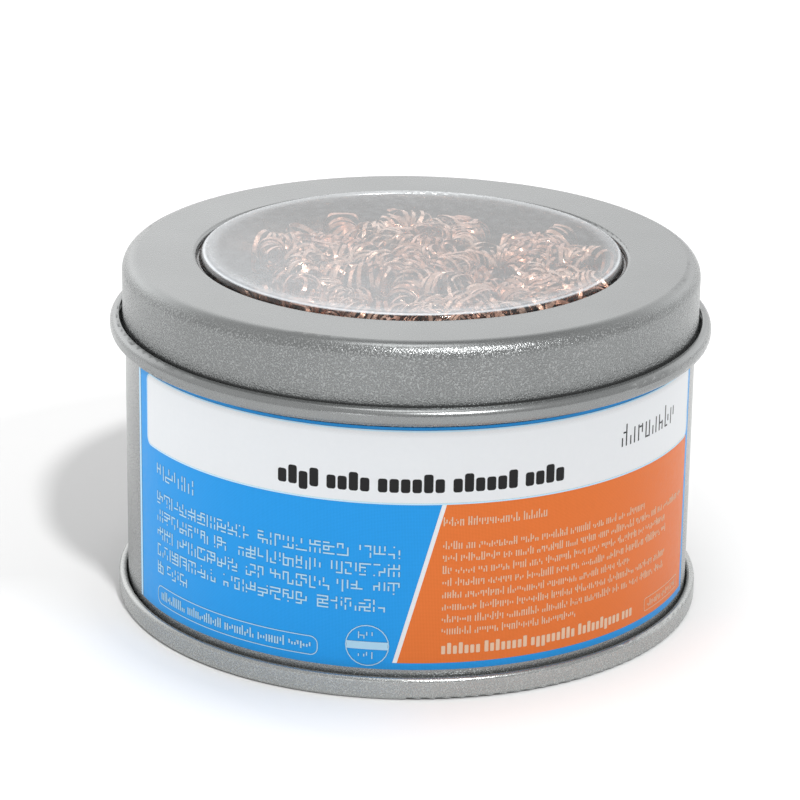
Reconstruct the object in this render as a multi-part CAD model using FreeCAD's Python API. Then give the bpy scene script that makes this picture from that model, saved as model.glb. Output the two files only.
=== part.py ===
import FreeCAD, Part
import math
import os

# Round slip-lid tin with a clear window in its lid, filled with curled metal ribbon for
# wiping soldering iron tips. Millimetres. Z is up, the tin stands on z = 0, and the label
# faces -Y.

# Tinplate
SHEET = 0.25                 # thickness of the body, the base and the lid
LAYER_GAP = 0.16             # between the folded layers of the base seam

# Lid
LID_RADIUS = 37.0            # outside of the skirt
LID_TOP = 45.5               # upper face of the flat panel
SHOULDER_RADIUS = 1.75       # centre line of the bend between panel and skirt
OPENING_RADIUS = 27.5        # window opening
OPENING_BEND = 0.4           # centre line of the turned-down edge
BEAD_BOTTOM = 35.6           # underside of the rolled bead
BEAD_HEIGHT = 2.25
BEAD_OUTER_RADIUS = 38.63
BEAD_ROLL_END_DEG = 100      # the roll stops short of the skirt and leaves a slit

# Body
SLIP_CLEARANCE = 0.08        # between the body and the lid's skirt
BODY_RADIUS = LID_RADIUS - SHEET - SLIP_CLEARANCE
MOUTH_CURL_RADIUS = 0.6      # centre line of the curl round the mouth
SEAT_CLEARANCE = 0.05        # between the mouth curl and the lid's shoulder
SIDE_SEAM_WIDTH = 4.0        # lap of the body's two ends, at the back
SIDE_SEAM_BOTTOM = 4.0

# Base
RIM_OUTER_RADIUS = 37.9      # outside of the double seam
RIM_HEIGHT = 2.8
FOOT_BEND = 0.35             # centre line of the bends each side of the ring it stands on
PANEL_HEIGHT = 2.5           # upper face of the recessed base panel
PANEL_CORNER_RADIUS = 0.7
CHUCK_GAP = 0.06             # between the base's upright wall and the body

# Window
WINDOW_SHEET = 0.3
WINDOW_RADIUS = 27.05        # outside of the raised plug
WINDOW_TOP = 46.05           # edge of the plateau
WINDOW_CROWN = 0.15          # rise of the plateau from its edge to its middle
WINDOW_CORNER_RADIUS = 0.8
WINDOW_ROOT_RADIUS = 0.35    # bend between plug and flange
FLANGE_RADIUS = 33.0
FLANGE_DROP = 0.06           # from the opening's turned-down edge to the flange
ADHESIVE_INNER_RADIUS = 28.8
ADHESIVE_OUTER_RADIUS = 32.4
ADHESIVE_CLEARANCE = 0.02

# Label
LABEL_BOTTOM = RIM_HEIGHT + 0.8
LABEL_TOP = BEAD_BOTTOM - 0.5
LABEL_THICKNESS = 0.12
GLUE_LINE = 0.03
LABEL_LEFT_DEG = -67.0       # from the middle of the front, positive towards +X
LABEL_RIGHT_DEG = 74.0

# Wool: loops of coiled ribbon, each solid the outer shape of its coil. Three layers of
# wide loops lie under a crown of small ones.
COIL_RADIUS = 5.4
WOOL_FLOOR_GAP = 0.3
LAYER_PITCH = 11.2
LAYER_NAMES = ("bottom", "lower", "upper")
LOOP_RADII = {"core": 7.6, "middle": 18.8, "outer": 30.0}
LOOP_END_GAP = 3.0           # between the two cut ends of a wide loop
LOOP_TURN_DEG = 97.0         # the cut ends are staggered from loop to loop

# Crown of the wool: a tuft in the middle and six round it, all lying a little off centre
CROWN_SHIFT = 2.5            # of the middle tuft from the tin's axis, towards +X
TUFT_END_GAP = 1.2
MIDDLE_TUFT = (4.5, 4.3)     # loop radius, coil radius
LARGE_TUFT = (4.25, 4.05)
SMALL_TUFT = (3.3, 3.15)
LARGE_TUFT_PLACE = 17.25     # from the middle tuft to the next
SMALL_TUFT_PLACE = 15.8
LARGE_TUFTS = {"back": 92, "left": 150, "front": 277, "right": 335.5, "back_right": 34}
SMALL_TUFTS = {"front_left": 214}

AXIS_BASE = FreeCAD.Vector(0, 0, 0)
AXIS = FreeCAD.Vector(0, 0, 1)
FAR = 100.0


def at(radius, height):
    """A point of a section, in the XZ plane."""
    return FreeCAD.Vector(radius, 0, height)


def bend(radius, height, bend_radius, start_deg, end_deg):
    """An arc about (radius, height), its angles from +X towards +Z."""
    middle_deg = (start_deg + end_deg) / 2
    points = []
    for angle_deg in (start_deg, middle_deg, end_deg):
        angle = math.radians(angle_deg)
        x = radius + bend_radius * math.cos(angle)
        z = height + bend_radius * math.sin(angle)
        points.append(at(x, z))
    return Part.Arc(*points).toShape(), points[0], points[2]


def centre_line(*steps):
    """A wire through points and bends, with straight lines between them."""
    edges = []
    last = None
    for step in steps:
        edge, start, end = (None, step, step) if isinstance(step, FreeCAD.Vector) else step
        if last is not None and last.distanceToPoint(start) > 1e-6:
            edges.append(Part.LineSegment(last, start).toShape())
        if edge is not None:
            edges.append(edge)
        last = end
    return Part.Wire(edges)


def turned(section):
    """A face of the XZ plane turned round the axis, cut off where it would cross it."""
    right_half = Part.Face(
        Part.makePolygon([at(0, -FAR), at(FAR, -FAR), at(FAR, FAR), at(0, FAR), at(0, -FAR)])
    )
    kept = section.common(right_half).Faces[0]
    return kept.revolve(AXIS_BASE, AXIS, 360)


def formed_sheet(wire, thickness):
    """Sheet of this thickness bent along a centre line and turned round the axis."""
    outline = wire.makeOffset2D(thickness / 2)
    return turned(Part.Face(outline))


def sector(inner, outer, bottom, top, start_deg, end_deg):
    """Part of a cylindrical wall, its angles from the front towards +X."""
    height = top - bottom
    base = FreeCAD.Vector(0, 0, bottom)
    sweep = end_deg - start_deg
    wall = Part.makeCylinder(outer, height, base, AXIS, sweep)
    wall = wall.cut(Part.makeCylinder(inner, height, base, AXIS, 360))
    wall.rotate(AXIS_BASE, AXIS, start_deg - 90)
    return wall


# Lines that several pieces share
LID_WALL_LINE = LID_RADIUS - SHEET / 2
LID_PANEL_LINE = LID_TOP - SHEET / 2
SHOULDER_CENTRE = (LID_WALL_LINE - SHOULDER_RADIUS, LID_PANEL_LINE - SHOULDER_RADIUS)
LIP_LINE = OPENING_RADIUS + SHEET / 2
LIP_BOTTOM = LID_PANEL_LINE - OPENING_BEND - 0.1
FLANGE_TOP = LIP_BOTTOM - SHEET / 2 - FLANGE_DROP
BODY_LINE = BODY_RADIUS - SHEET / 2
BODY_INNER_RADIUS = BODY_RADIUS - SHEET
COVER_HOOK_LINE = BODY_LINE + SHEET + LAYER_GAP
BODY_HOOK_LINE = COVER_HOOK_LINE + SHEET + LAYER_GAP
SEAM_OUTER_LINE = RIM_OUTER_RADIUS - SHEET / 2
CHUCK_LINE = BODY_INNER_RADIUS - CHUCK_GAP - SHEET / 2
FOOT_CENTRE_HEIGHT = SHEET / 2 + FOOT_BEND
SEAM_TOP_RADIUS = (SEAM_OUTER_LINE - COVER_HOOK_LINE) / 2
SEAM_TOP_CENTRE = (COVER_HOOK_LINE + SEAM_TOP_RADIUS, RIM_HEIGHT - SHEET / 2 - SEAM_TOP_RADIUS)
HOOK_RADIUS = (BODY_HOOK_LINE - BODY_LINE) / 2
HOOK_CENTRE = (BODY_LINE + HOOK_RADIUS, SHEET + CHUCK_GAP + SHEET / 2 + HOOK_RADIUS)


def make_lid_shell():
    """Flat annular panel, rounded shoulder, skirt, and a bead rolled outwards."""
    bead_width = BEAD_OUTER_RADIUS - (LID_RADIUS - SHEET) - SHEET
    roll = bead_width / 2
    roll_line = LID_WALL_LINE + roll
    low = BEAD_BOTTOM + SHEET / 2 + roll
    high = BEAD_BOTTOM + BEAD_HEIGHT - SHEET / 2 - roll
    return formed_sheet(
        centre_line(
            at(LIP_LINE, LIP_BOTTOM),
            bend(LIP_LINE + OPENING_BEND, LID_PANEL_LINE - OPENING_BEND, OPENING_BEND, 180, 90),
            bend(*SHOULDER_CENTRE, SHOULDER_RADIUS, 90, 0),
            bend(roll_line, low, roll, 180, 360),
            bend(roll_line, high, roll, 0, BEAD_ROLL_END_DEG),
        ),
        SHEET,
    )


def make_body_wall():
    """Rolled cylinder: hook at the foot, curl round the mouth, lapped seam at the back."""
    curl = MOUTH_CURL_RADIUS
    curl_line = BODY_LINE - curl
    across = curl_line - SHOULDER_CENTRE[0]
    reach = SHOULDER_RADIUS - SHEET - SEAT_CLEARANCE - curl
    curl_height = SHOULDER_CENTRE[1] + math.sqrt(reach ** 2 - across ** 2)
    wall = formed_sheet(
        centre_line(
            at(BODY_HOOK_LINE, SEAM_TOP_CENTRE[1] - 0.25),
            bend(*HOOK_CENTRE, HOOK_RADIUS, 0, -180),
            bend(curl_line, curl_height, curl, 0, 290),
        ),
        SHEET,
    )
    half_lap_deg = math.degrees(SIDE_SEAM_WIDTH / 2 / BODY_RADIUS)
    lap = sector(
        BODY_INNER_RADIUS - SHEET,
        BODY_INNER_RADIUS + SHEET / 2,
        SIDE_SEAM_BOTTOM,
        curl_height - 2 * curl,
        180 - half_lap_deg,
        180 + half_lap_deg,
    )
    return wall.fuse(lap).removeSplitter()


def make_base_end():
    """Recessed panel whose edge is folded round the foot of the body as a double seam."""
    panel_line = PANEL_HEIGHT - SHEET / 2
    corner = PANEL_CORNER_RADIUS
    return formed_sheet(
        centre_line(
            at(-1, panel_line),
            bend(CHUCK_LINE - corner, panel_line - corner, corner, 90, 0),
            bend(CHUCK_LINE + FOOT_BEND, FOOT_CENTRE_HEIGHT, FOOT_BEND, 180, 270),
            bend(SEAM_OUTER_LINE - FOOT_BEND, FOOT_CENTRE_HEIGHT, FOOT_BEND, 270, 360),
            bend(*SEAM_TOP_CENTRE, SEAM_TOP_RADIUS, 0, 180),
            at(COVER_HOOK_LINE, HOOK_CENTRE[1] + 0.3),
        ),
        SHEET,
    )


def make_window():
    """Clear blister: raised plug with a rounded edge, and a flange under the lid."""
    flange = FLANGE_TOP - WINDOW_SHEET / 2
    wall_line = WINDOW_RADIUS - WINDOW_SHEET / 2
    plateau = WINDOW_TOP - WINDOW_SHEET / 2
    corner = WINDOW_CORNER_RADIUS
    root = WINDOW_ROOT_RADIUS
    edge = at(wall_line - corner, plateau)
    middle = at(0, plateau + WINDOW_CROWN)
    far_edge = at(corner - wall_line, plateau)
    crown = (Part.Arc(edge, middle, far_edge).toShape(), edge, far_edge)
    return formed_sheet(
        centre_line(
            at(FLANGE_RADIUS, flange),
            bend(wall_line + root, flange + root, root, 270, 180),
            bend(wall_line - corner, plateau - corner, corner, 0, 90),
            crown,
        ),
        WINDOW_SHEET,
    )


def make_window_adhesive():
    """Flat ring that holds the window's flange to the underside of the lid."""
    bottom = FLANGE_TOP + ADHESIVE_CLEARANCE
    top = LID_TOP - SHEET - ADHESIVE_CLEARANCE
    return sector(ADHESIVE_INNER_RADIUS, ADHESIVE_OUTER_RADIUS, bottom, top, 0, 360)


def make_label():
    """Wrap-round label on the front of the body."""
    inner = BODY_RADIUS + GLUE_LINE
    outer = inner + LABEL_THICKNESS
    return sector(inner, outer, LABEL_BOTTOM, LABEL_TOP, LABEL_LEFT_DEG, LABEL_RIGHT_DEG)


def make_loop(loop_radius, coil_radius, bottom, end_gap, start_deg):
    """Fat open ring: the outer shape of one coil of ribbon laid in a loop."""
    sweep_deg = 360 - math.degrees(end_gap / loop_radius)
    centre = at(loop_radius, bottom + coil_radius)
    circle = Part.Circle(centre, FreeCAD.Vector(0, 1, 0), coil_radius)
    face = Part.Face(Part.Wire([circle.toShape()]))
    loop = face.revolve(AXIS_BASE, AXIS, sweep_deg)
    loop.rotate(AXIS_BASE, AXIS, start_deg)
    return loop


def make_wool_layers():
    """Three layers of three loops, one inside the other."""
    nodes = {}
    bottom = PANEL_HEIGHT + WOOL_FLOOR_GAP
    turn_deg = 0
    for layer in LAYER_NAMES:
        for loop_name, radius in LOOP_RADII.items():
            name = "wool_" + layer + "_" + loop_name
            nodes[name] = make_loop(radius, COIL_RADIUS, bottom, LOOP_END_GAP, turn_deg)
            turn_deg += LOOP_TURN_DEG
        bottom += LAYER_PITCH
    return nodes


def make_tuft(size, bottom, place, place_deg):
    """Small loop that stands off the middle of the crown, its cut ends turned outwards."""
    loop_radius, coil_radius = size
    tuft = make_loop(loop_radius, coil_radius, bottom, TUFT_END_GAP, place_deg)
    angle = math.radians(place_deg)
    x = CROWN_SHIFT + place * math.cos(angle)
    tuft.translate(FreeCAD.Vector(x, place * math.sin(angle), 0))
    return tuft


def make_wool_crown():
    """Small loops that lie side by side on the top layer."""
    bottom = PANEL_HEIGHT + WOOL_FLOOR_GAP + len(LAYER_NAMES) * LAYER_PITCH
    nodes = {"wool_tuft_middle": make_tuft(MIDDLE_TUFT, bottom, 0, 0)}
    for name, place_deg in LARGE_TUFTS.items():
        nodes["wool_tuft_" + name] = make_tuft(LARGE_TUFT, bottom, LARGE_TUFT_PLACE, place_deg)
    for name, place_deg in SMALL_TUFTS.items():
        nodes["wool_tuft_" + name] = make_tuft(SMALL_TUFT, bottom, SMALL_TUFT_PLACE, place_deg)
    return nodes


def main():
    nodes = {
        "body_wall": make_body_wall(),
        "base_end": make_base_end(),
        "lid_shell": make_lid_shell(),
        "window": make_window(),
        "window_adhesive": make_window_adhesive(),
        "label": make_label(),
    }
    nodes.update(make_wool_layers())
    nodes.update(make_wool_crown())
    os.makedirs("parts", exist_ok=True)
    for name, shape in nodes.items():
        solid = shape.Solids[0]
        print(name, "valid" if solid.isValid() else "NOT VALID", round(solid.Volume, 1), "mm3")
        solid.exportStep("parts/" + name + ".step")


main()
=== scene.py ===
import math

import bpy
import numpy as np
from mathutils import Matrix, Vector


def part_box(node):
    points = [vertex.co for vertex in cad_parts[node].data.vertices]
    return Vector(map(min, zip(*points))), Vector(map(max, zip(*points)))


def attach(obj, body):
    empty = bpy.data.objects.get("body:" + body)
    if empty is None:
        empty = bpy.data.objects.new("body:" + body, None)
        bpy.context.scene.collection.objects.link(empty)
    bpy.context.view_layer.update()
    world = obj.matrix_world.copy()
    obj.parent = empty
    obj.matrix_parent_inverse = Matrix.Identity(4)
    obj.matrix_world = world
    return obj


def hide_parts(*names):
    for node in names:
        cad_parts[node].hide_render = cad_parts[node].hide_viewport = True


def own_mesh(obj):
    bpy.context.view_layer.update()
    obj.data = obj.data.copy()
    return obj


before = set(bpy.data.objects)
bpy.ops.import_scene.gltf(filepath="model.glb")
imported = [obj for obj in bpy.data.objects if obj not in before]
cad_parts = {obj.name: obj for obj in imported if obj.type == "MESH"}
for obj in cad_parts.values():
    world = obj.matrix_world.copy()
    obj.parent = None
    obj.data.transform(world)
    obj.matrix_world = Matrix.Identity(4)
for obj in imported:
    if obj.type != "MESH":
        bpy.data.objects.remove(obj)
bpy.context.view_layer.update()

MM = 0.001


# ---------------------------------------------------------------- material helpers

class Shading:
    """A node material whose colour, roughness and bump are built up step by step."""

    def __init__(self, name):
        self.material = bpy.data.materials.new(name)
        self.material.use_nodes = True
        self.tree = self.material.node_tree
        self.tree.nodes.clear()
        self.output = self.tree.nodes.new("ShaderNodeOutputMaterial")
        self.place = self.node("TexCoord").outputs["Object"]

    def node(self, kind, settings=None, **inputs):
        made = self.tree.nodes.new("ShaderNode" + kind)
        for key, value in (settings or {}).items():
            setattr(made, key, value)
        for key, value in inputs.items():
            self.feed(made.inputs[key.replace("_", " ")], value)
        return made

    def feed(self, socket, value):
        if isinstance(value, bpy.types.NodeSocket):
            self.tree.links.new(value, socket)
        else:
            socket.default_value = value

    def math(self, operation, first, second=0.0, third=0.0):
        made = self.tree.nodes.new("ShaderNodeMath")
        made.operation = operation
        for socket, value in zip(made.inputs, (first, second, third)):
            self.feed(socket, value)
        return made.outputs[0]

    def noise(self, scale, detail=2.0, roughness=0.5):
        """Noise whose features are about 1/scale metres wide."""
        made = self.node("TexNoise", Vector=self.place, Scale=scale, Detail=detail, Roughness=roughness)
        return made.outputs["Fac"]

    def spread(self, value, from_low, from_high, to_low, to_high):
        """The value moved from one range to another, and held at its ends."""
        made = self.node("MapRange", Value=value)
        limits = (from_low, from_high, to_low, to_high)
        for key, limit in zip(("From Min", "From Max", "To Min", "To Max"), limits):
            made.inputs[key].default_value = limit
        return made.outputs["Result"]

    def blend(self, factor, first, second):
        """A colour that goes from the first to the second as the factor goes from 0 to 1."""
        made = self.node("Mix", {"data_type": "RGBA"})
        self.feed(made.inputs["Factor"], factor)
        self.feed(made.inputs[6], first)
        self.feed(made.inputs[7], second)
        return made.outputs[2]

    def length(self, vector):
        return self.node("VectorMath", {"operation": "LENGTH"}, Vector=vector).outputs["Value"]

    def corner_light(self, reach):
        """1 in the open, and less where other faces stand within this reach."""
        return self.node("AmbientOcclusion", {"samples": 4}, Distance=reach).outputs["AO"]

    def bump(self, height, depth, strength=1.0):
        made = self.node("Bump", Height=height, Strength=strength, Distance=depth)
        return made.outputs["Normal"]

    def surface(self, **inputs):
        made = self.node("BsdfPrincipled", **inputs)
        self.tree.links.new(made.outputs[0], self.output.inputs["Surface"])


def colour(red, green, blue):
    """A linear colour from the usual 0 to 255 values."""
    def linear(value):
        share = value / 255
        return share / 12.92 if share <= 0.04045 else ((share + 0.055) / 1.055) ** 2.4
    return (linear(red), linear(green), linear(blue), 1.0)


# ---------------------------------------------------------------- materials

GRAIN_DEPTH = 0.10 * MM
FLECK_ROUGHNESS = (0.26, 0.55)    # between the flecks and on them
BEAD_TOP = 37.85 * MM
ROLLED_GLITTER = 0.12        # what rolling leaves of the grain
# Per part: glitter is its grain and painted glints, and the rest sets the painted shade in its corners
LID_GRAIN_AND_SHADE = {"glitter": 1.0, "corner_shade_level": 0.85, "corner": 0.7 * MM, "rolled_below": BEAD_TOP}
BODY_GRAIN_AND_SHADE = {"glitter": 0.4, "corner_shade_level": 0.9, "corner": 0.35 * MM}


def outward_share(s):
    """1 on a wall that faces straight out from the tin's axis, 0 on a level face and -1 on
    the inside of a wall."""
    flat = s.node("VectorMath", {"operation": "MULTIPLY"})
    s.feed(flat.inputs[0], s.place)
    flat.inputs[1].default_value = (1, 1, 0)
    outward = s.node("VectorMath", {"operation": "NORMALIZE"}, Vector=flat.outputs[0])
    facing = s.node("VectorMath", {"operation": "DOT_PRODUCT"})
    s.feed(facing.inputs[0], s.node("NewGeometry").outputs["Normal"])
    s.feed(facing.inputs[1], outward.outputs[0])
    return facing.outputs["Value"]


def tinplate(name, red, green, blue, glitter, corner_shade_level, corner, rolled_below=0.0):
    """Matt tinplate. Glitter is the grain on the outside of its walls, as bumps and as bright flecks
    painted into the colour in place of glints, and it fades below rolled_below, where rolling has
    polished it. The corner shade level is how bright the corners stay under painted shade, and corner
    is how far that painted shade reaches."""
    s = Shading(name)
    clouds = s.spread(s.noise(90, detail=4), 0.3, 0.7, 0.92, 1.0)
    grain = s.noise(4800, detail=1.5)
    height = s.node("SeparateXYZ", Vector=s.place).outputs[2]
    drawn = s.spread(height, rolled_below, rolled_below + 0.4 * MM, 0.0, 1.0)
    wall = s.spread(outward_share(s), 0.5, 0.95, 0.05, glitter)
    wall = s.math("MULTIPLY", wall, s.math("MAXIMUM", drawn, ROLLED_GLITTER))
    # Bright flecks painted into the colour stand in for glints on the grain; the flecks are also
    # rougher
    glint_flecks = s.math("MULTIPLY", s.spread(grain, 0.54, 0.64, 0.0, 1.0), wall)
    # Painted shade: the colour darkens in corners and creases, where other faces stand close
    painted_corner_shade = s.spread(s.corner_light(corner), 0.1, 0.6, corner_shade_level, 1.0)
    # The colour is scaled by the painted glints, a slightly darker ground on the walls, random cloudy
    # tone and the painted corner shade
    light = s.math("MULTIPLY_ADD", glint_flecks, 0.6, s.math("MULTIPLY_ADD", wall, -0.1, clouds))
    light = s.math("MULTIPLY", light, painted_corner_shade)
    bright = colour(red, green, blue)
    tone = s.node("VectorMath", {"operation": "SCALE"}, Vector=bright[:3], Scale=light)
    s.surface(
        Base_Color=tone.outputs[0],
        Metallic=0.8,
        Roughness=s.spread(glint_flecks, 0.0, 1.0, *FLECK_ROUGHNESS),
        Normal=s.bump(grain, GRAIN_DEPTH, wall),
    )
    return s.material


FILM_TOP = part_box("window")[1].z
FILM_RADIUS = 27.05 * MM     # outside of the raised plug


def film_paleness(s):
    """How much haze the film has: dust and a painted sheen at the front left of its level top, standing
    in for the room's reflection, and a worn, bent edge."""
    split = s.node("SeparateXYZ", Vector=s.place)
    x, y, z = split.outputs
    reach = s.length(s.node("CombineXYZ", X=x, Y=y).outputs[0])
    worn = s.spread(reach, FILM_RADIUS - 2.6 * MM, FILM_RADIUS - 1.2 * MM, 0.0, 0.15)
    bent = s.spread(reach, FILM_RADIUS - 0.75 * MM, FILM_RADIUS - 0.45 * MM, 0.0, 0.40)
    dust = s.spread(s.noise(900, detail=3), 0.4, 0.8, 0.05, 0.13)
    backwards = s.math("MULTIPLY_ADD", x, 0.6, s.math("MULTIPLY", y, 0.8))
    # Painted sheen: the film is paler towards the front left, in place of a reflection
    painted_sheen = s.spread(backwards, -25 * MM, 2 * MM, 0.16, 0.0)
    pale = s.math("ADD", s.math("ADD", dust, painted_sheen), s.math("ADD", worn, bent))
    top = s.spread(z, FILM_TOP - 0.45 * MM, FILM_TOP - 0.30 * MM, 0.0, 1.0)
    return s.math("MULTIPLY_ADD", top, pale, 0.02)


def clear_film():
    """Thin clear plastic, hazy on its outer face, where it also mirrors the room. Part of the haze is
    painted sheen.
    """
    s = Shading("clear_film")
    inside = s.node("NewGeometry").outputs["Backfacing"]
    outside = s.math("SUBTRACT", 1.0, inside)
    fresnel = s.math("MULTIPLY", outside, s.node("Fresnel", IOR=1.5).outputs[0])
    ripple = s.bump(s.noise(120, detail=2), 0.03 * MM)
    smears = s.spread(s.noise(260, detail=5, roughness=0.6), 0.45, 0.75, 0.02, 0.10)
    mirror = s.node("BsdfAnisotropic", Color=(1, 1, 1, 1), Roughness=smears, Normal=ripple)
    clear = s.node("BsdfTransparent", Color=(0.98, 0.985, 0.99, 1))
    haze_and_sheen = s.node("BsdfDiffuse", Color=(0.80, 0.84, 0.88, 1))
    film = s.node("MixShader", Fac=s.math("MULTIPLY", outside, film_paleness(s)))
    s.tree.links.new(clear.outputs[0], film.inputs[1])
    s.tree.links.new(haze_and_sheen.outputs[0], film.inputs[2])
    both = s.node("MixShader", Fac=fresnel)
    s.tree.links.new(film.outputs[0], both.inputs[1])
    s.tree.links.new(mirror.outputs[0], both.inputs[2])
    s.tree.links.new(both.outputs[0], s.output.inputs["Surface"])
    return s.material


def glue():
    """Off-white glue, mottled."""
    s = Shading("window_glue")
    mottle = s.spread(s.noise(700, detail=3), 0.3, 0.7, 0.0, 1.0)
    tone = s.blend(mottle, colour(196, 192, 180), colour(222, 219, 208))
    s.surface(Base_Color=tone, Roughness=0.6, Normal=s.bump(mottle, 0.05 * MM))
    return s.material


def copper_ribbon():
    """Bright rolled ribbon, from pale rose to tarnished brown, streaked along its turns."""
    s = Shading("copper_ribbon")
    patches = s.spread(s.noise(160, detail=3), 0.35, 0.65, 0.0, 1.0)
    streaks = s.spread(s.noise(2400, detail=2), 0.3, 0.7, 0.0, 1.0)
    tarnish = s.blend(patches, colour(176, 122, 98), colour(212, 180, 160))
    tone = s.blend(s.math("MULTIPLY", streaks, 0.35), tarnish, colour(104, 58, 42))
    roughness = s.spread(streaks, 0.0, 1.0, 0.22, 0.42)
    s.surface(Base_Color=tone, Metallic=1.0, Roughness=roughness, Normal=s.bump(streaks, 0.02 * MM))
    return s.material


LABEL_LOW, LABEL_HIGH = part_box("label")
LABEL_RADIUS = -LABEL_LOW.y
DOT_PITCH = 0.36 * MM
SHADE_REACH = 2 * MM         # of what stands over the label


def halftone(s):
    """A slanting screen of soft dots round the tin, from 0 to 1."""
    x, y, z = s.node("SeparateXYZ", Vector=s.place).outputs
    around = s.math("MULTIPLY", s.math("ARCTAN2", x, s.math("MULTIPLY", y, -1.0)), LABEL_RADIUS)
    rate = 2 * math.pi / DOT_PITCH
    rising = s.math("SINE", s.math("MULTIPLY", s.math("ADD", around, z), rate))
    falling = s.math("SINE", s.math("MULTIPLY", s.math("SUBTRACT", around, z), rate))
    return s.spread(s.math("MULTIPLY", rising, falling), -0.6, 0.6, 0.0, 1.0)


def printed(name, ink, dots=0.0):
    """Laminated print, with painted shade close under the bead. Dots is how strongly its screen shows.
    """
    s = Shading(name)
    fibres = s.spread(s.noise(1500, detail=3), 0.3, 0.7, 0.0, 1.0)
    weak = tuple(min(1.0, 1.3 * part + 0.02) for part in ink[:3]) + (1.0,)
    mixed = s.math("MULTIPLY_ADD", fibres, 0.06, s.math("MULTIPLY", halftone(s), dots))
    # Painted shade: the print darkens close under the bead and wherever something else stands within
    # reach
    shade = s.spread(s.corner_light(SHADE_REACH), 0.6, 0.85, 0.22, 1.0)
    tone = s.node("VectorMath", {"operation": "SCALE"}, Scale=shade)
    s.feed(tone.inputs[0], s.blend(mixed, ink, weak))
    s.surface(
        Base_Color=tone.outputs[0],
        Roughness=s.spread(fibres, 0.0, 1.0, 0.34, 0.44),
        Specular_IOR_Level=0.25,
        Normal=s.bump(fibres, 0.004 * MM),
    )
    return s.material


# ---------------------------------------------------------------- the label's print

LABEL_BOTTOM = LABEL_LOW.z / MM
LABEL_TOP = LABEL_HIGH.z / MM
INK = 0.012                  # thickness of one layer of print, in mm
COLUMN_DEG = 1.5             # a printed shape follows the tin in columns no wider than this


def wrap(degrees, height, lift):
    """A point on the label: degrees from the middle of the front, mm up, mm proud."""
    angle = math.radians(degrees)
    radius = LABEL_RADIUS + lift * MM
    return (radius * math.sin(angle), -radius * math.cos(angle), height * MM)


def degrees_of(arc_mm):
    """The angle that an arc of this many mm takes up on the label."""
    return math.degrees(arc_mm * MM / LABEL_RADIUS)


class Print:
    """Closed thin plates of ink, gathered into one mesh."""

    def __init__(self, layer):
        self.low = (layer + 0.2) * INK
        self.high = self.low + INK
        self.points = []
        self.faces = []

    def plate(self, rows):
        """A closed plate over a grid of points (degrees, height), all its rows equally long."""
        start = len(self.points)
        count, wide = len(rows), len(rows[0])
        for lift in (self.low, self.high):
            for row in rows:
                self.points.extend(wrap(*point, lift) for point in row)
        layer = count * wide

        def corner(row, column, level):
            return start + level * layer + row * wide + column

        for row in range(count - 1):
            for column in range(wide - 1):
                for level, turn in ((0, 1), (1, -1)):
                    loop = [corner(row, column, level), corner(row + 1, column, level)]
                    loop += [corner(row + 1, column + 1, level), corner(row, column + 1, level)]
                    self.faces.append(tuple(loop[::turn]))
        rim = [(0, column) for column in range(wide - 1)]
        rim += [(row, wide - 1) for row in range(count - 1)]
        rim += [(count - 1, column) for column in range(wide - 1, 0, -1)]
        rim += [(row, 0) for row in range(count - 1, 0, -1)]
        for here, after in zip(rim, rim[1:] + rim[:1]):
            low, high = corner(*here, 0), corner(*here, 1)
            self.faces.append((low, corner(*after, 0), corner(*after, 1), high))

    def strip(self, rungs):
        """A plate between pairs of points, one pair a rung."""
        self.plate([list(column) for column in zip(*rungs)])

    def block(self, left, right, bottom, top, corner=0.0):
        """A rectangle in degrees by mm, its corners rounded to a radius in mm."""
        round_deg = degrees_of(corner)
        stops = [left, right]
        if corner:
            steps = [1 - math.cos(math.radians(a)) for a in (0, 30, 60, 90)]
            stops = [left + round_deg * s for s in steps]
            stops += [right - round_deg * s for s in reversed(steps)]
        count = int((stops[-1] - stops[0]) / COLUMN_DEG)
        middle = np.linspace(stops[len(stops) // 2 - 1], stops[len(stops) // 2], count + 2)[1:-1]
        stops = sorted(stops + list(middle))
        rungs = []
        for stop in stops:
            inset = 0.0
            nearest = min(stop - left, right - stop)
            if corner and nearest < round_deg:
                across = 1 - nearest / round_deg
                inset = corner * (1 - math.sqrt(max(0.0, 1 - across ** 2)))
            rungs.append(((stop, bottom + inset), (stop, top - inset)))
        self.strip(rungs)

    def stroke(self, line, width):
        """A closed line of points (degrees, mm), drawn this wide in mm."""
        fine = []
        for here, after in zip(line, line[1:] + line[:1]):
            steps = 1 + int(abs(after[0] - here[0]) / COLUMN_DEG)
            fine += [np.array(here) + (np.array(after) - here) * step / steps for step in range(steps)]
        to_mm = np.array((1 / degrees_of(1.0), 1.0))
        flat = [point * to_mm for point in fine]
        rungs = []
        for before, here, after in zip(flat[-1:] + flat[:-1], flat, flat[1:] + flat[:1]):
            along = (after - before) / np.linalg.norm(after - before)
            side = np.array((-along[1], along[0])) * width / 2
            rungs.append((tuple((here - side) / to_mm), tuple((here + side) / to_mm)))
        self.strip(rungs + rungs[:1])

    def piece(self, name, material):
        mesh = bpy.data.meshes.new(name)
        mesh.from_pydata(self.points, [], self.faces)
        mesh.materials.append(material)
        piece = bpy.data.objects.new(name, mesh)
        bpy.context.scene.collection.objects.link(piece)
        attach(piece, "tin")
        return piece


def rounded_box(left, right, bottom, top, corner):
    """Points round a rounded rectangle, in degrees by mm."""
    reach = degrees_of(corner)
    line = []
    corners = [(right, top, 0), (left, top, 90), (left, bottom, 180), (right, bottom, 270)]
    for x, y, start in corners:
        centre_x = x - reach if start in (0, 270) else x + reach
        centre_y = y - corner if start in (0, 90) else y + corner
        for turn in range(start, start + 91, 15):
            angle = math.radians(turn)
            line.append((centre_x + reach * math.cos(angle), centre_y + corner * math.sin(angle)))
    return line


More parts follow.
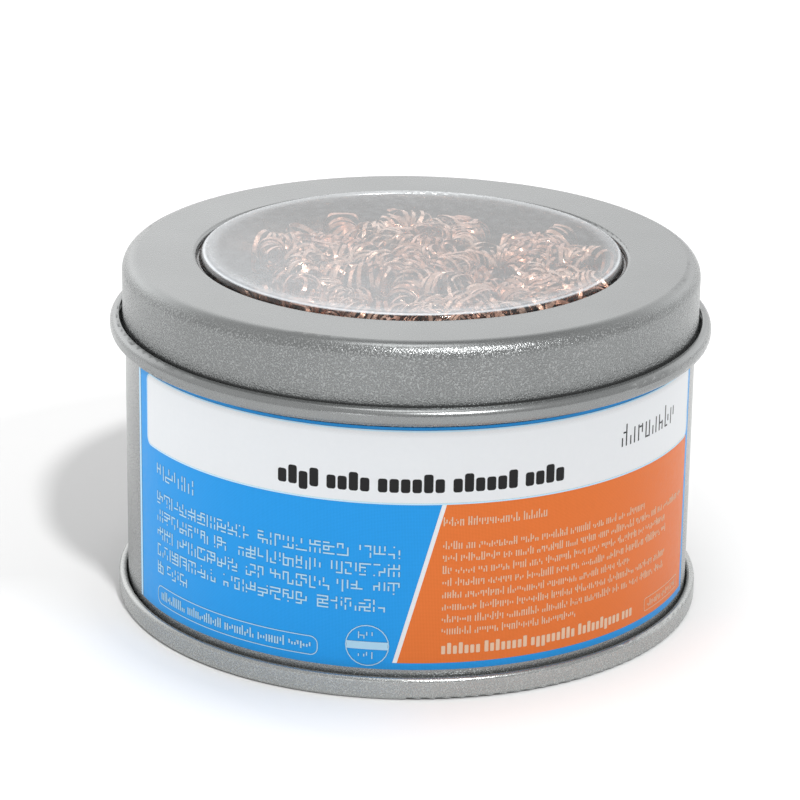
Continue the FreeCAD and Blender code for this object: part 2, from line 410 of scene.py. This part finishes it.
def block_sign(ink, rng, left, foot, size, stroke):
    """One rounded block, some of them taller or hanging lower."""
    width, height = size
    top = foot + height * (1.35 if rng.random() < 0.3 else 1.0)
    low = foot - (0.3 * height if rng.random() < 0.1 else 0.0)
    ink.block(left, left + degrees_of(width), low, top, stroke)


def tick_sign(ink, rng, left, foot, size, stroke):
    """Two upright ticks of uneven length, sometimes with a dash between them."""
    width, height = size
    for place in (0.0, width - stroke):
        low, high = rng.choice(((0, 1), (0, 1), (0, 0.55), (0.45, 1), (0, 1.35), (0.3, 0.7)))
        side = left + degrees_of(place)
        ink.block(side, side + degrees_of(stroke), foot + low * height, foot + high * height)
    if rng.random() < 0.4:
        inset = degrees_of(stroke * 1.25)
        level = foot + height * rng.choice((0.0, 0.4, 0.8))
        ink.block(left + inset, left + degrees_of(width) - inset, level, level + stroke)


def stroke_sign(ink, rng, left, foot, size, stroke, columns=3, rows=4):
    """Level and upright strokes on a small grid, each run of filled cells one block."""
    width, height = size
    filled = np.zeros((2 * rows - 1, 2 * columns - 1), bool)
    for row in range(rows):
        if rng.random() < 0.62:
            first, last = sorted(rng.integers(0, columns, 2))
            filled[2 * row, 2 * first:2 * last + 1] = True
    for column in range(columns):
        for row in range(rows - 1):
            if rng.random() < 0.5:
                filled[2 * row:2 * row + 3, 2 * column] = True
    across = spaced(width, stroke, columns)
    up = spaced(height, stroke, rows)
    for row in range(len(filled)):
        edges = np.flatnonzero(np.diff(np.concatenate(([0], filled[row], [0]))))
        for first, last in zip(edges[::2], edges[1::2]):
            sides = [left + degrees_of(across[edge]) for edge in (first, last)]
            ink.block(*sides, foot + up[row], foot + up[row + 1])


def spaced(length, stroke, lines):
    """Where strokes and the gaps between them begin and end along a length."""
    gap = (length - lines * stroke) / (lines - 1)
    steps = [stroke, gap] * (lines - 1) + [stroke]
    return np.concatenate(([0.0], np.cumsum(steps)))


def greeked(ink, rng, sign, left, right, foot, *, size, gap, stroke, words):
    """A line of made-up signs, no letters, from left to right in degrees. Its foot, the
    signs' size, the gap between them and their stroke are in mm, and words is the range of
    signs in a group."""
    width = size[0]
    place = left
    while place + degrees_of(width) < right:
        for _ in range(rng.integers(*words)):
            if place + degrees_of(width) > right:
                return
            sign(ink, rng, place, foot, size, stroke)
            place += degrees_of(width + gap)
        place += degrees_of(0.7 * width)


COLOURED_LEFT_DEG = -62.4    # the white panel's left end
COLOURED_RIGHT_DEG = 72.5
ORANGE_TOP_LEFT_DEG = 7.4
ORANGE_BOTTOM_LEFT_DEG = -1.6
PANEL_BOTTOM = 25.3          # heights and widths are in mm
PANEL_TOP = LABEL_TOP - 0.5
PANEL_CORNER = 1.0
ORANGE_BOTTOM = 4.5
PAPER_EDGE_DEG = -66.8
PALE_EDGE = 0.55
FINE_LINE = 0.12
LEFT_TEXT_DEG = -58.4
RIGHT_TEXT_DEG = 6.8


def slanted_edge(height):
    """Where the slanted divider stands at this height, in degrees."""
    share = (height - ORANGE_BOTTOM) / (PANEL_BOTTOM - ORANGE_BOTTOM)
    return ORANGE_BOTTOM_LEFT_DEG + share * (ORANGE_TOP_LEFT_DEG - ORANGE_BOTTOM_LEFT_DEG)


def print_white_panel(material):
    """The white band along the top, and the white stripe down the slanted divider."""
    ink = Print(0)
    ink.block(COLOURED_LEFT_DEG, COLOURED_RIGHT_DEG, PANEL_BOTTOM, PANEL_TOP, PANEL_CORNER)
    stripe_deg = degrees_of(PALE_EDGE)
    rungs = []
    for height in np.linspace(ORANGE_BOTTOM, PANEL_BOTTOM, 12):
        edge = slanted_edge(height)
        rungs.append(((edge - stripe_deg, height), (edge, height)))
    ink.strip(rungs)
    return ink.piece("print_white_panel", material)


def print_pale_edges(material):
    """The paper's cut edge at the label's left end, and a fine line round the white panel."""
    ink = Print(1)
    cut_end = PAPER_EDGE_DEG + degrees_of(PALE_EDGE)
    ink.block(PAPER_EDGE_DEG, cut_end, LABEL_BOTTOM + 0.05, LABEL_TOP - 0.05)
    left, right = COLOURED_LEFT_DEG - 0.1, COLOURED_RIGHT_DEG + 0.1
    ink.stroke(rounded_box(left, right, PANEL_BOTTOM, PANEL_TOP, PANEL_CORNER), 0.2)
    return ink.piece("print_pale_edges", material)


def print_orange_panel(material):
    """The panel right of the slanted divider."""
    ink = Print(0)
    rows = []
    for height in np.linspace(ORANGE_BOTTOM, PANEL_BOTTOM, 12):
        edge = slanted_edge(height)
        rows.append([(degrees, height) for degrees in np.linspace(edge, COLOURED_RIGHT_DEG, 60)])
    ink.plate(rows)
    return ink.piece("print_orange_panel", material)


def print_title(material):
    """A bold line of blocks in the white band, and finer signs at its right end."""
    ink = Print(1)
    rng = np.random.default_rng(11)
    bold = {"size": (1.12, 1.75), "gap": 0.26, "stroke": 0.3, "words": (4, 9)}
    fine = {"size": (0.95, 2.1), "gap": 0.62, "stroke": 0.2, "words": (8, 9)}
    greeked(ink, rng, block_sign, -25.2, 32.4, 26.75, **bold)
    greeked(ink, rng, tick_sign, 45.1, 65.6, 29.0, **fine)
    return ink.piece("print_title", material)


def print_badge(ink, rng, middle, height, radius):
    """A ring with a bar across it and a few signs above and below the bar."""
    reach = degrees_of(radius)
    ring = rounded_box(middle - reach, middle + reach, height - radius, height + radius, radius)
    ink.stroke(ring, FINE_LINE)
    bar = 0.96 * reach
    ink.block(middle - bar, middle + bar, height - 0.5, height + 0.5)
    ends = (middle - 0.42 * reach, middle + 0.42 * reach)
    signs = {"size": (0.8, 0.9), "gap": 0.2, "stroke": 0.14, "words": (2, 3)}
    for rise in (0.9, -1.75):
        greeked(ink, rng, tick_sign, *ends, height + rise, **signs)


def print_left_text(material):
    """Heading, five lines, an outlined caption and a round badge on the blue ground."""
    ink = Print(1)
    rng = np.random.default_rng(23)
    heading = {"size": (1.75, 1.9), "gap": 0.35, "stroke": 0.2, "words": (4, 5)}
    body = {"size": (1.45, 1.6), "gap": 0.3, "stroke": 0.19, "words": (5, 11)}
    caption = {"size": (0.58, 0.95), "gap": 0.2, "stroke": 0.2, "words": (4, 9)}
    greeked(ink, rng, stroke_sign, LEFT_TEXT_DEG, -43.2, 21.6, **heading)
    line_ends = (0.0, -1.2, -0.8, -3.8, -46.5)
    for index, end in enumerate(line_ends):
        greeked(ink, rng, stroke_sign, LEFT_TEXT_DEG, end, 18.2 - 2.35 * index, **body)
    ink.stroke(rounded_box(LEFT_TEXT_DEG, -17.0, 4.65, 7.1, 0.95), FINE_LINE)
    greeked(ink, rng, tick_sign, -57.0, -18.2, 5.3, **caption)
    print_badge(ink, rng, -7.3, 6.65, 2.65)
    return ink.piece("print_left_text", material)


def print_right_text(material):
    """Heading, eight lines, a bold last line and a small outlined box on the orange."""
    ink = Print(1)
    rng = np.random.default_rng(37)
    heading = {"size": (0.48, 0.85), "gap": 0.19, "stroke": 0.15, "words": (3, 12)}
    body = {"size": (0.45, 0.78), "gap": 0.18, "stroke": 0.14, "words": (2, 9)}
    bold = {"size": (0.5, 1.1), "gap": 0.22, "stroke": 0.12, "words": (3, 11)}
    boxed = {"size": (0.42, 0.7), "gap": 0.18, "stroke": 0.13, "words": (4, 8)}
    greeked(ink, rng, tick_sign, RIGHT_TEXT_DEG, 28.5, 22.45, **heading)
    line_ends = (54.0, 70.0, 62.0, 62.0, 49.5, 62.0, 62.0, 35.5)
    for index, end in enumerate(line_ends):
        greeked(ink, rng, tick_sign, RIGHT_TEXT_DEG, end, 19.45 - 1.6 * index, **body)
    greeked(ink, rng, block_sign, RIGHT_TEXT_DEG, 50.7, 5.65, **bold)
    ink.stroke(rounded_box(54.5, 69.5, 5.25, 6.95, 0.3), 0.09)
    greeked(ink, rng, tick_sign, 55.6, 68.6, 5.65, **boxed)
    return ink.piece("print_right_text", material)


# ---------------------------------------------------------------- the wool

class Smooth:
    """Smooth random values along a line, between about -1 and 1."""

    def __init__(self, rng, slowest, fastest, waves=4):
        self.rates = rng.uniform(slowest, max(slowest, fastest), waves)
        self.phases = rng.uniform(0, 2 * math.pi, waves)

    def __call__(self, share):
        turns = np.outer(share, self.rates) * 2 * math.pi + self.phases
        return np.sin(turns).sum(axis=1) / math.sqrt(len(self.rates))


class Ribbons:
    """Flat ribbons with four faces a step, gathered into one mesh. Lengths are in mm."""

    def __init__(self):
        self.points = []
        self.faces = []
        self.count = 0

    def add(self, path, width_way, thin_way, width, thickness):
        """A ribbon along path, its two directions given at each point."""
        across = width_way * (width / 2)[:, None]
        deep = thin_way * (thickness / 2)
        corners = [path - across - deep, path + across - deep]
        corners += [path + across + deep, path - across + deep]
        rings = np.stack(corners, axis=1)
        steps = len(path)
        self.points.append(rings.reshape(-1, 3))
        base = self.count + 4 * np.arange(steps - 1)[:, None]
        sides = []
        for side in range(4):
            after = (side + 1) % 4
            sides.append(base + np.array([[side, after, after + 4, side + 4]]))
        start = self.count
        end = self.count + 4 * (steps - 1)
        caps = np.array([[start + 3, start + 2, start + 1, start], [end, end + 1, end + 2, end + 3]])
        self.faces.append(np.concatenate(sides + [caps]))
        self.count += 4 * steps

    def piece(self, name, material):
        points = np.concatenate(self.points) * MM
        faces = np.concatenate(self.faces)
        mesh = bpy.data.meshes.new(name)
        mesh.vertices.add(len(points))
        mesh.vertices.foreach_set("co", points.ravel())
        mesh.loops.add(faces.size)
        mesh.loops.foreach_set("vertex_index", faces.ravel())
        mesh.polygons.add(len(faces))
        mesh.polygons.foreach_set("loop_start", np.arange(0, faces.size, 4))
        mesh.update(calc_edges=True)
        mesh.shade_smooth()
        mesh.set_sharp_from_angle(angle=math.radians(45))
        mesh.materials.append(material)
        piece = bpy.data.objects.new(name, mesh)
        bpy.context.scene.collection.objects.link(piece)
        return piece


RIBBON_THICKNESS = 0.07      # the wool's sizes are in mm
BED_RIBBON_WIDTH = 0.65
TUFT_RIBBON_WIDTH = 0.52
BED_PITCH = 1.7              # from one turn of a coil to the next
UPRIGHT = np.identity(3)


def seeded(name):
    """Random numbers of a piece's own, the same in every run."""
    return np.random.default_rng(sum(ord(letter) * (place + 7) for place, letter in enumerate(name)))


def arc_line(middle, radius, start, sweep, frame_rows=UPRIGHT):
    """Centre line along an arc. The rows are the arc's two directions and its axis."""
    first, second, axis = frame_rows

    def line(share):
        angle = (start + sweep * share)[:, None]
        out = np.cos(angle) * first + np.sin(angle) * second
        along = np.cos(angle) * second - np.sin(angle) * first
        return middle + radius * out, along, out, np.tile(axis, (len(share), 1))

    return line


def coil(ribbons, rng, line, length, radius, pitch, width, steps=20, taper=0.0):
    """A ribbon wound round a centre line that gives places, along, out and up. The winding
    bunches, leans and twists at random, and narrows by taper to its end."""
    turns = length / pitch
    share = np.linspace(0, 1, int(turns * steps))
    centre, along, out, up = line(share)
    bunch = Smooth(rng, 1, turns / 6)(share)
    turn = 2 * math.pi * turns * share + rng.uniform(0, 2 * math.pi) + 1.2 * bunch
    reach = radius * (1 - taper * share) * (1 + 0.07 * Smooth(rng, 1, turns / 2)(share))
    cosine, sine = np.cos(turn)[:, None], np.sin(turn)[:, None]
    outward = cosine * out + sine * up
    lean = Smooth(rng, 1, turns / 4)(share)[:, None]
    slant = 0.5 * pitch * lean * cosine * along
    path = centre + slant + reach[:, None] * outward
    twist = (0.45 * Smooth(rng, turns / 4, turns)(share))[:, None]
    width_way = np.cos(twist) * along + np.sin(twist) * outward
    thin_way = np.cos(twist) * outward - np.sin(twist) * along
    widths = width * (1 + 0.2 * Smooth(rng, 1, turns / 4)(share))
    ribbons.add(path, width_way, thin_way, widths, RIBBON_THICKNESS)


def wool_bed_loop(node, material):
    """The ribbons that fill one loop of the bed: two windings, one inside the other."""
    low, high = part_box(node)
    coil_radius = (high.z - low.z) / 2 / MM
    loop_radius = (high.x - low.x) / 2 / MM - coil_radius
    middle = np.array((0.0, 0.0, (low.z + high.z) / 2 / MM))
    rng = seeded(node)
    start = rng.uniform(0, 2 * math.pi)
    sweep = 2 * math.pi * 0.985
    ribbons = Ribbons()
    for share in (0.93, 0.72):
        line = arc_line(middle, loop_radius, start, sweep)
        length = sweep * loop_radius
        coil(ribbons, rng, line, length, coil_radius * share, BED_PITCH, BED_RIBBON_WIDTH)
    wool_piece(ribbons, node + "_ribbon", material, node)


def random_frame(rng, lean):
    """Three directions at right angles, the last one leaning from upright by up to lean."""
    turn = rng.uniform(0, 2 * math.pi)
    tilt = rng.uniform(0, lean)
    tip = rng.uniform(0, 2 * math.pi)
    axis = np.array((math.sin(tilt) * math.cos(tip), math.sin(tilt) * math.sin(tip), math.cos(tilt)))
    first = np.cross(axis, (math.cos(turn), math.sin(turn), 0.0))
    first /= np.linalg.norm(first)
    return np.array((first, np.cross(axis, first), axis))


def tuft_coils(ribbons, rng, middle, spread, floor, roof, count):
    """Short bent coils lying every way in a round space, none of them through its roof."""
    for _ in range(count):
        radius = rng.uniform(0.22, 0.40) * (roof - floor)
        distance = max(0.0, spread - radius) * math.sqrt(rng.uniform(0, 1))
        heading = rng.uniform(0, 2 * math.pi)
        height = rng.uniform(roof - 1.6 * radius, roof - 1.05 * radius)
        place = np.array((distance * math.cos(heading), distance * math.sin(heading), 0.0))
        place += (middle[0], middle[1], height)
        arc_radius = rng.uniform(2.5, 9.0)
        length = rng.uniform(4.0, 8.5)
        start = rng.uniform(0, 2 * math.pi)
        rows = random_frame(rng, 1.0)
        sweep = length / arc_radius
        half = start + sweep / 2
        centre = place - arc_radius * (math.cos(half) * rows[0] + math.sin(half) * rows[1])
        line = arc_line(centre, arc_radius, start, sweep, rows)
        pitch = rng.uniform(0.8, 1.25)
        taper = rng.uniform(0, 0.45)
        coil(ribbons, rng, line, length, radius, pitch, TUFT_RIBBON_WIDTH, steps=30, taper=taper)
    keep_under_roof(ribbons, floor, roof)


def keep_under_roof(ribbons, floor, roof, margin=0.6):
    """Bends what would come through the roof flat under it, and stops the rest at the floor."""
    for points in ribbons.points:
        high = points[:, 2] - (roof - margin)
        bent = roof - margin + margin * np.tanh(high / margin)
        points[:, 2] = np.where(high > 0, bent, points[:, 2])
        points[:, 2] = np.maximum(points[:, 2], floor)


def wool_piece(ribbons, name, material, *nodes):
    """The ribbons as one piece of the wool, in place of these CAD nodes."""
    piece = ribbons.piece(name, material)
    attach(piece, "wool")
    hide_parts(*nodes)
    return piece


CROWN_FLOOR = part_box("wool_tuft_middle")[0].z
CROWN_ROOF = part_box("wool_tuft_middle")[1].z
LARGE_TUFT_RADIUS = 7        # tufts that are larger than this, in mm, have more coils
LARGE_TUFT_COILS = 22
SMALL_TUFT_COILS = 14


def crown_gives(piece):
    """Gives the piece a mesh of its own."""
    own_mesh(piece)


def wool_tuft(node, material):
    """The ribbons that fill one tuft of the crown."""
    low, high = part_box(node)
    spread = (high.x - low.x) / 2 / MM
    middle = (low + high) / 2 / MM
    rng = seeded(node)
    ribbons = Ribbons()
    count = LARGE_TUFT_COILS if spread > LARGE_TUFT_RADIUS else SMALL_TUFT_COILS
    tuft_coils(ribbons, rng, middle, spread, low.z / MM, high.z / MM, count)
    crown_gives(wool_piece(ribbons, node + "_ribbon", material, node))


def stray_curls(material):
    """Loose ends that bridge the tufts."""
    rng = seeded("stray")
    ribbons = Ribbons()
    middle, spread, count = (2.5, 1.0), 23.0, 44
    tuft_coils(ribbons, rng, middle, spread, CROWN_FLOOR / MM, CROWN_ROOF / MM - 0.4, count)
    crown_gives(wool_piece(ribbons, "wool_stray_curls", material))


# ---------------------------------------------------------------- stage, light and camera

FLOOR_REACH = 6.0            # metres to each side
FLOOR_GLOW = 0.29
GLOW_STARTS = 41.5 * MM      # in front of the tin, from its axis
GLOW_IS_FULL = 56 * MM
SHADOW_MIDDLE = (-20 * MM, 20 * MM)
SHADOW_ENDS = 55 * MM        # from the middle of the tin's shadow
SHADOW_IS_GONE = 85 * MM


def floor_glow(s):
    """The backdrop glows, as painted light, in front of the tin and all round its shadow."""
    front = s.math("MULTIPLY", s.node("SeparateXYZ", Vector=s.place).outputs[1], -1.0)
    near = s.spread(s.length(s.place), GLOW_STARTS, GLOW_IS_FULL, 0.0, FLOOR_GLOW)
    nearby = s.math("MULTIPLY", near, s.spread(front, 0.0, 20 * MM, 0.0, 1.0))
    aside = s.node("VectorMath", {"operation": "SUBTRACT"})
    s.feed(aside.inputs[0], s.place)
    aside.inputs[1].default_value = (*SHADOW_MIDDLE, 0.0)
    far = s.spread(s.length(aside.outputs[0]), SHADOW_ENDS, SHADOW_IS_GONE, 0.0, FLOOR_GLOW)
    return s.math("MAXIMUM", nearby, far)


def make_floor():
    """White backdrop under the tin, glowing as painted light more and more away from it."""
    reach = FLOOR_REACH
    mesh = bpy.data.meshes.new("floor")
    corners = [(-reach, -reach, 0), (reach, -reach, 0), (reach, reach, 0), (-reach, reach, 0)]
    mesh.from_pydata(corners, [], [(0, 1, 2, 3)])
    floor = bpy.data.objects.new("floor", mesh)
    floor.location.z = -0.02 * MM
    bpy.context.scene.collection.objects.link(floor)
    s = Shading("floor_white")
    mottle = s.spread(s.noise(3, detail=2), 0.3, 0.7, 0.69, 0.71)
    s.surface(
        Base_Color=s.node("CombineColor", Red=mottle, Green=mottle, Blue=mottle).outputs[0],
        Roughness=0.7,
        Emission_Color=(1, 1, 1, 1),
        Emission_Strength=floor_glow(s),
    )
    mesh.materials.append(s.material)


# Brightness of the room against the sine of the height above the horizon, ends first
FRONT_SKY = ((0.0, 0.46), (1.0, 4.4), (0.30, 0.50), (0.65, 0.56), (0.975, 0.56), (0.988, 4.4))
BACK_SKY = (
    (0.0, 0.90), (1.0, 4.4), (0.10, 1.10), (0.22, 1.62), (0.50, 1.62), (0.75, 0.70),
    (0.975, 0.60), (0.988, 4.4),
)
BACK_BEGINS = 0.25           # how far a direction points backwards
BACK_IS_FULL = 0.75
SKY_STRENGTH = 0.76
SIDES_ARE_BRIGHTER = 1.0
DIMMEST = 0.2                # a little right of the middle, so that the left is brightest


def make_world():
    """A room with a wide soft box at the back, a small one overhead, a dimmer front and
    brighter sides."""
    world = bpy.data.worlds.new("studio")
    world.use_nodes = True
    bpy.context.scene.world = world
    tree = world.node_tree
    tree.nodes.clear()

    def node(kind, **settings):
        made = tree.nodes.new("ShaderNode" + kind)
        for key, value in settings.items():
            setattr(made, key, value)
        return made

    def levels(height, stops):
        ramp = node("ValToRGB")
        tree.links.new(height, ramp.inputs[0])
        elements = ramp.color_ramp.elements
        for index, (place, level) in enumerate(stops):
            element = elements[index] if index < 2 else elements.new(place)
            element.position = place
            element.color = (level, level, level, 1)
        return ramp.outputs[0]

    direction = node("TexCoord").outputs["Generated"]
    split = node("SeparateXYZ")
    tree.links.new(direction, split.inputs[0])
    right, back, height = split.outputs
    front_sky = levels(height, FRONT_SKY)
    back_sky = levels(height, BACK_SKY)
    share = node("MapRange", interpolation_type="SMOOTHSTEP")
    tree.links.new(back, share.inputs["Value"])
    share.inputs["From Min"].default_value = BACK_BEGINS
    share.inputs["From Max"].default_value = BACK_IS_FULL
    mixed = node("Mix", data_type="RGBA")
    tree.links.new(share.outputs[0], mixed.inputs["Factor"])
    tree.links.new(front_sky, mixed.inputs[6])
    tree.links.new(back_sky, mixed.inputs[7])
    off_centre = node("Math", operation="SUBTRACT")
    tree.links.new(right, off_centre.inputs[0])
    off_centre.inputs[1].default_value = DIMMEST
    distance = node("Math", operation="ABSOLUTE")
    tree.links.new(off_centre.outputs[0], distance.inputs[0])
    strength = node("Math", operation="MULTIPLY_ADD")
    tree.links.new(distance.outputs[0], strength.inputs[0])
    strength.inputs[1].default_value = SIDES_ARE_BRIGHTER * SKY_STRENGTH
    strength.inputs[2].default_value = SKY_STRENGTH
    background = node("Background")
    tree.links.new(mixed.outputs[2], background.inputs["Color"])
    tree.links.new(strength.outputs[0], background.inputs["Strength"])
    output = node("OutputWorld")
    tree.links.new(background.outputs[0], output.inputs["Surface"])


KEY_FROM = (0.33, -0.77, 1.0)
FILL_FROM = (-0.35, -1.0, 0.12)


def make_sun(name, towards, strength, softness_deg):
    """A distant light that shines from the direction it is towards."""
    data = bpy.data.lights.new(name, "SUN")
    data.energy = strength
    data.angle = math.radians(softness_deg)
    light = bpy.data.objects.new(name, data)
    bpy.context.scene.collection.objects.link(light)
    light.rotation_euler = Vector(towards).to_track_quat("Z", "Y").to_euler()
    return light


def shade_from(light, pieces):
    """Keeps the light off these pieces, as a flag on a stand would."""
    flag = bpy.data.collections.new(light.name + "_flag")
    for piece in pieces:
        flag.objects.link(piece)
    light.light_linking.receiver_collection = flag
    for entry in flag.collection_objects:
        entry.light_linking.link_state = "EXCLUDE"


def make_lights(label_pieces):
    """A key from high on the front right, kept off the label, and a weak low fill from the
    front left."""
    key = make_sun("key", KEY_FROM, strength=2.1, softness_deg=5)
    shade_from(key, label_pieces)
    make_sun("fill", FILL_FROM, strength=0.15, softness_deg=12)


CAMERA_DISTANCE = 0.41586    # metres from the tin's axis
CAMERA_HEIGHT = 0.17448
CAMERA_TILT = 0.3443         # radians below the horizon
CAMERA_TURN = -0.0029        # radians
CAMERA_ROLL = 0.0148
CAMERA_LENS = 152.93         # mm


def make_camera():
    """Stands in front of the tin and a little above it, and looks slightly down."""
    data = bpy.data.cameras.new("camera")
    data.sensor_width = 36.0
    data.lens = CAMERA_LENS
    data.clip_end = 20.0
    camera = bpy.data.objects.new("camera", data)
    bpy.context.scene.collection.objects.link(camera)
    place = Matrix.Translation((0, -CAMERA_DISTANCE, CAMERA_HEIGHT))
    turn = Matrix.Rotation(-CAMERA_TURN, 4, "Z")
    tilt = Matrix.Rotation(math.pi / 2 - CAMERA_TILT, 4, "X")
    camera.matrix_world = place @ turn @ tilt @ Matrix.Rotation(CAMERA_ROLL, 4, "Z")
    bpy.context.scene.camera = camera


# ---------------------------------------------------------------- the whole scene

def dress(node, material):
    """Gives a CAD node this material all over."""
    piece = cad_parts[node]
    piece.data.materials.clear()
    piece.data.materials.append(material)
    return piece


def dress_tin():
    """The tinplate pieces, the film and its glue keep their CAD shapes."""
    dress("lid_shell", tinplate("lid_tinplate", 139, 141, 141, **LID_GRAIN_AND_SHADE))
    dress("body_wall", tinplate("body_tinplate", 145, 147, 147, **BODY_GRAIN_AND_SHADE))
    dress("base_end", tinplate("base_tinplate", 166, 168, 167, **BODY_GRAIN_AND_SHADE))
    dress("window", clear_film())
    dress("window_adhesive", glue())


def make_label():
    """The label and its layers of print."""
    return [
        dress("label", printed("label_blue", colour(6, 148, 226), dots=0.5)),
        print_white_panel(printed("ink_white", colour(233, 236, 239))),
        print_pale_edges(printed("ink_pale", colour(196, 232, 252))),
        print_orange_panel(printed("ink_orange", colour(222, 112, 40), dots=0.5)),
        print_title(printed("ink_black", colour(16, 16, 18))),
        print_left_text(printed("ink_left_text", colour(176, 216, 240))),
        print_right_text(printed("ink_right_text", colour(232, 196, 166))),
    ]


def make_wool():
    """Nine loops of the bed, seven tufts of the crown and the curls between them."""
    ribbon = copper_ribbon()
    for layer in ("bottom", "lower", "upper"):
        for loop in ("core", "middle", "outer"):
            wool_bed_loop("wool_" + layer + "_" + loop, ribbon)
    for place in ("middle", "back", "left", "front", "right", "back_right", "front_left"):
        wool_tuft("wool_tuft_" + place, ribbon)
    stray_curls(ribbon)


def main():
    bpy.context.scene.view_settings.view_transform = "Standard"
    make_floor()
    make_world()
    make_camera()
    dress_tin()
    make_lights(make_label())
    make_wool()


main()
